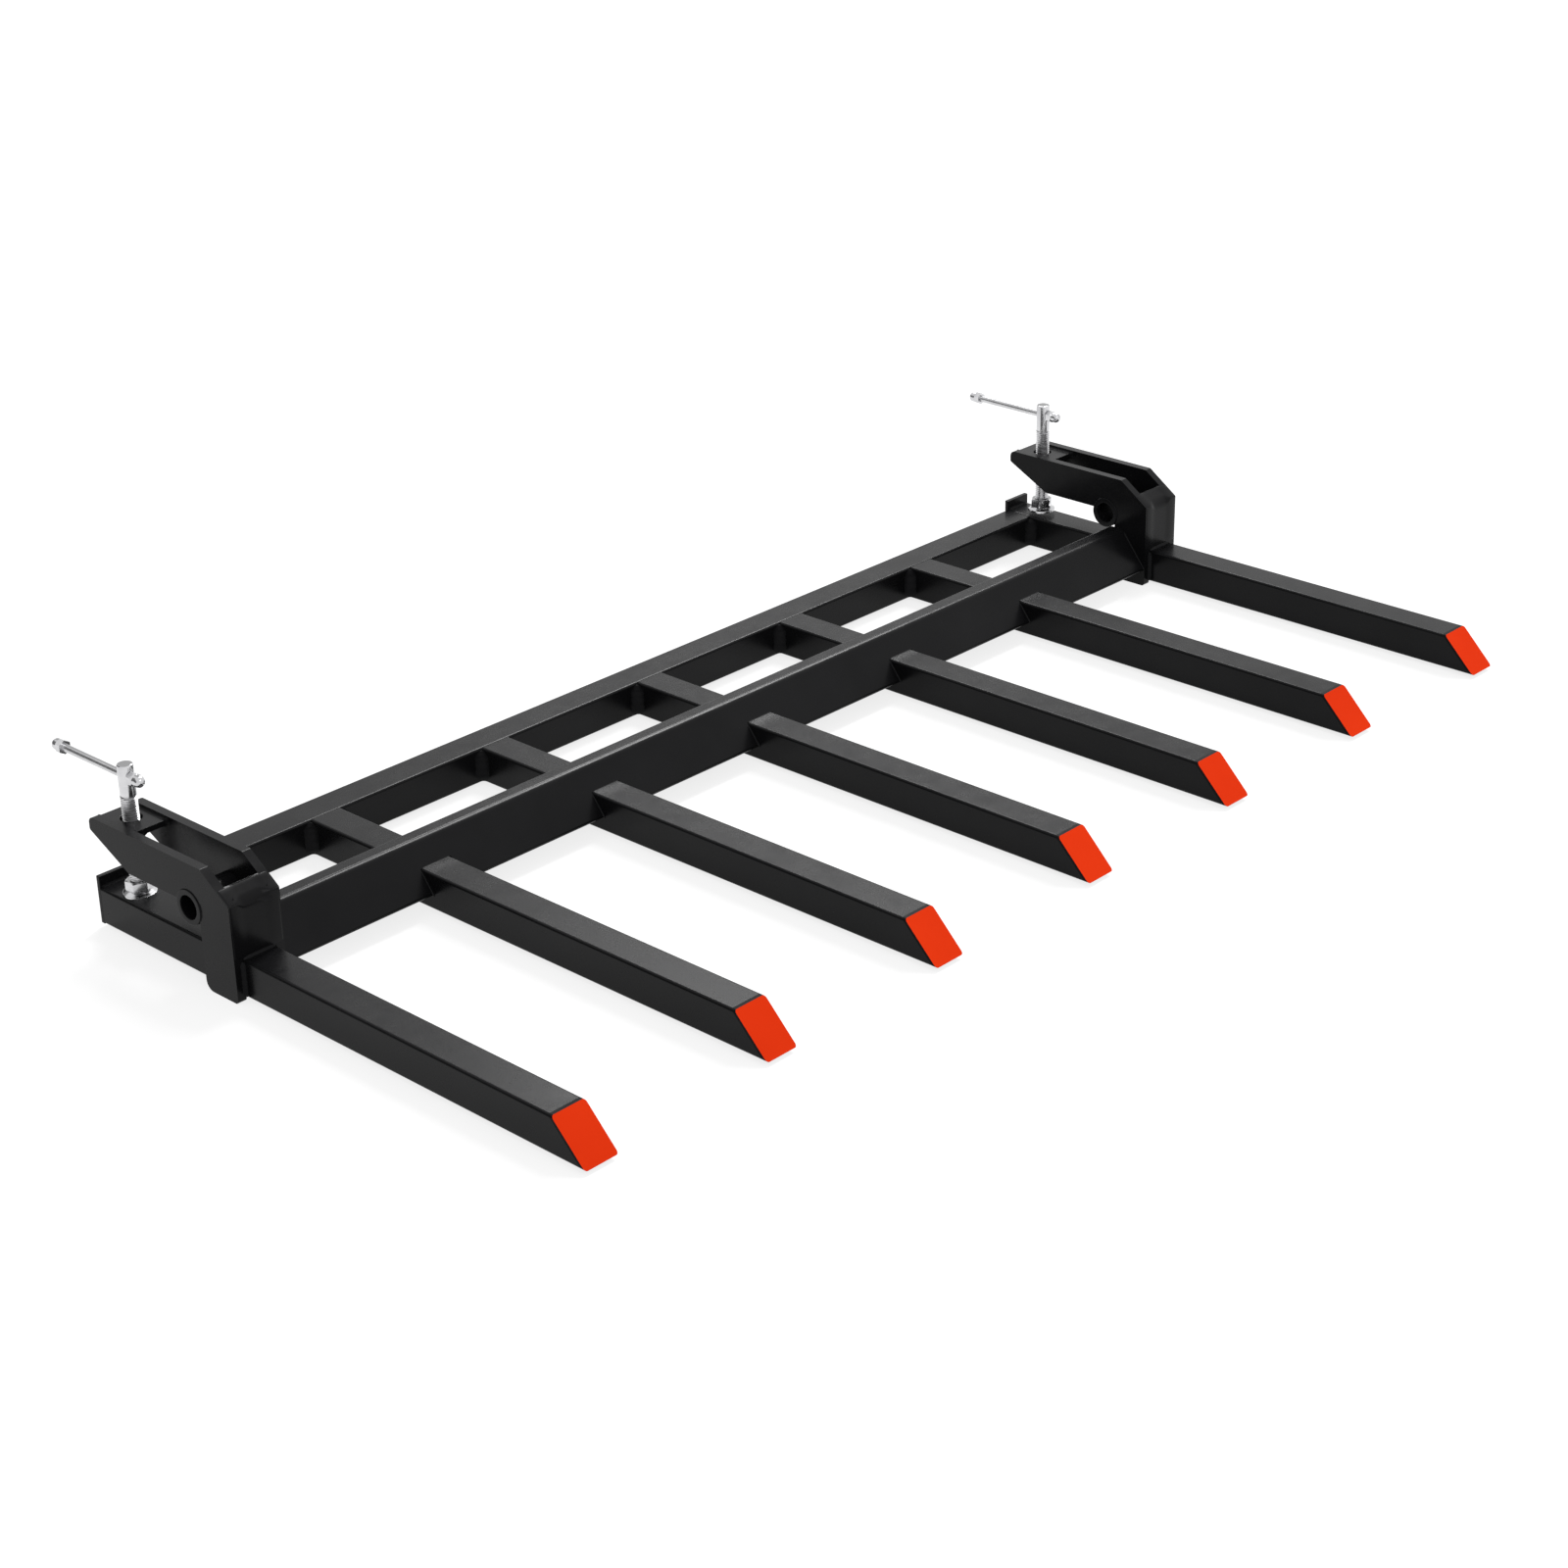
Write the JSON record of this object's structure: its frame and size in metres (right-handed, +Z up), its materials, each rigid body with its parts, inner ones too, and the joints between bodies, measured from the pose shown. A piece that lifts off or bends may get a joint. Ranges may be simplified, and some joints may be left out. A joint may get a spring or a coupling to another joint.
{
  "type": "clamp-on debris fork",
  "caption": "Bucket-mounted debris fork of square tubes: tines with orange slanted tips on two cross rails, and a screw clamp with a sliding bar at each end.",
  "frame": {"origin": "Under the middle of the whole fork, on the ground plane that the cheeks stand on.", "axes": "+X to the right seen from the tips, -Y toward the tips, +Z up. Left is the -X side."},
  "size_m": [1.472, 0.7712, 0.189],
  "materials": {
    "black_coat": "satin powder coat",
    "orange_paint": "satin paint",
    "bright_plating": "bright plated steel"
  },
  "bodies": {
    "frame": {"rear_rail": "black_coat", "front_rail": "black_coat", "tine_1": "black_coat", "tine_2": "black_coat", "tine_3": "black_coat", "tine_4": "black_coat", "tine_5": "black_coat", "tine_6": "black_coat", "tine_7": "black_coat", "tine_cap_1": "orange_paint", "tine_cap_2": "orange_paint", "tine_cap_3": "orange_paint", "tine_cap_4": "orange_paint", "tine_cap_5": "orange_paint", "tine_cap_6": "orange_paint", "tine_cap_7": "orange_paint", "left_outer_cheek": "black_coat", "left_inner_cheek": "black_coat", "left_closing_plate": "black_coat", "left_screw_plate": "black_coat", "left_weld_nut": "black_coat", "left_sleeve": "black_coat", "left_jaw_stop": "black_coat", "right_outer_cheek": "black_coat", "right_inner_cheek": "black_coat", "right_closing_plate": "black_coat", "right_screw_plate": "black_coat", "right_weld_nut": "black_coat", "right_sleeve": "black_coat", "right_jaw_stop": "black_coat"},
    "left_foot": {"left_swivel_foot": "bright_plating"},
    "left_screw": {"left_clamp_screw": "bright_plating"},
    "left_handle": {"left_handle_bar": "bright_plating", "left_bar_nuts": "bright_plating"},
    "right_foot": {"right_swivel_foot": "bright_plating"},
    "right_screw": {"right_clamp_screw": "bright_plating"},
    "right_handle": {"right_handle_bar": "bright_plating", "right_bar_nuts": "bright_plating"}
  },
  "joints": [
    {"name": "left_screw_feed", "type": "slide", "parent": "frame", "child": "left_foot", "axis": [0, 0, 1], "range_m": [0, 0.035]},
    {"name": "left_screw_turn", "type": "hinge", "parent": "left_foot", "child": "left_screw", "pos_m": [-0.705, 0.26637, 0.104], "axis": [0, 0, 1], "range_deg": [0, 5040]},
    {"name": "left_bar_slide", "type": "slide", "parent": "left_screw", "child": "left_handle", "axis": [0, -1, 0], "range_m": [0, 0.092]},
    {"name": "right_screw_feed", "type": "slide", "parent": "frame", "child": "right_foot", "axis": [0, 0, 1], "range_m": [-0.005, 0.03]},
    {"name": "right_screw_turn", "type": "hinge", "parent": "right_foot", "child": "right_screw", "pos_m": [0.705, 0.26637, 0.109], "axis": [0, 0, 1], "range_deg": [-720, 4320]},
    {"name": "right_bar_slide", "type": "slide", "parent": "right_screw", "child": "right_handle", "axis": [0, -1, 0], "range_m": [0, 0.092]}
  ],
  "couplings": [
    {"joint": "left_screw_turn", "follows": "left_screw_feed", "rad_per_m": 2513.3},
    {"joint": "right_screw_turn", "follows": "right_screw_feed", "rad_per_m": 2513.3}
  ]
}
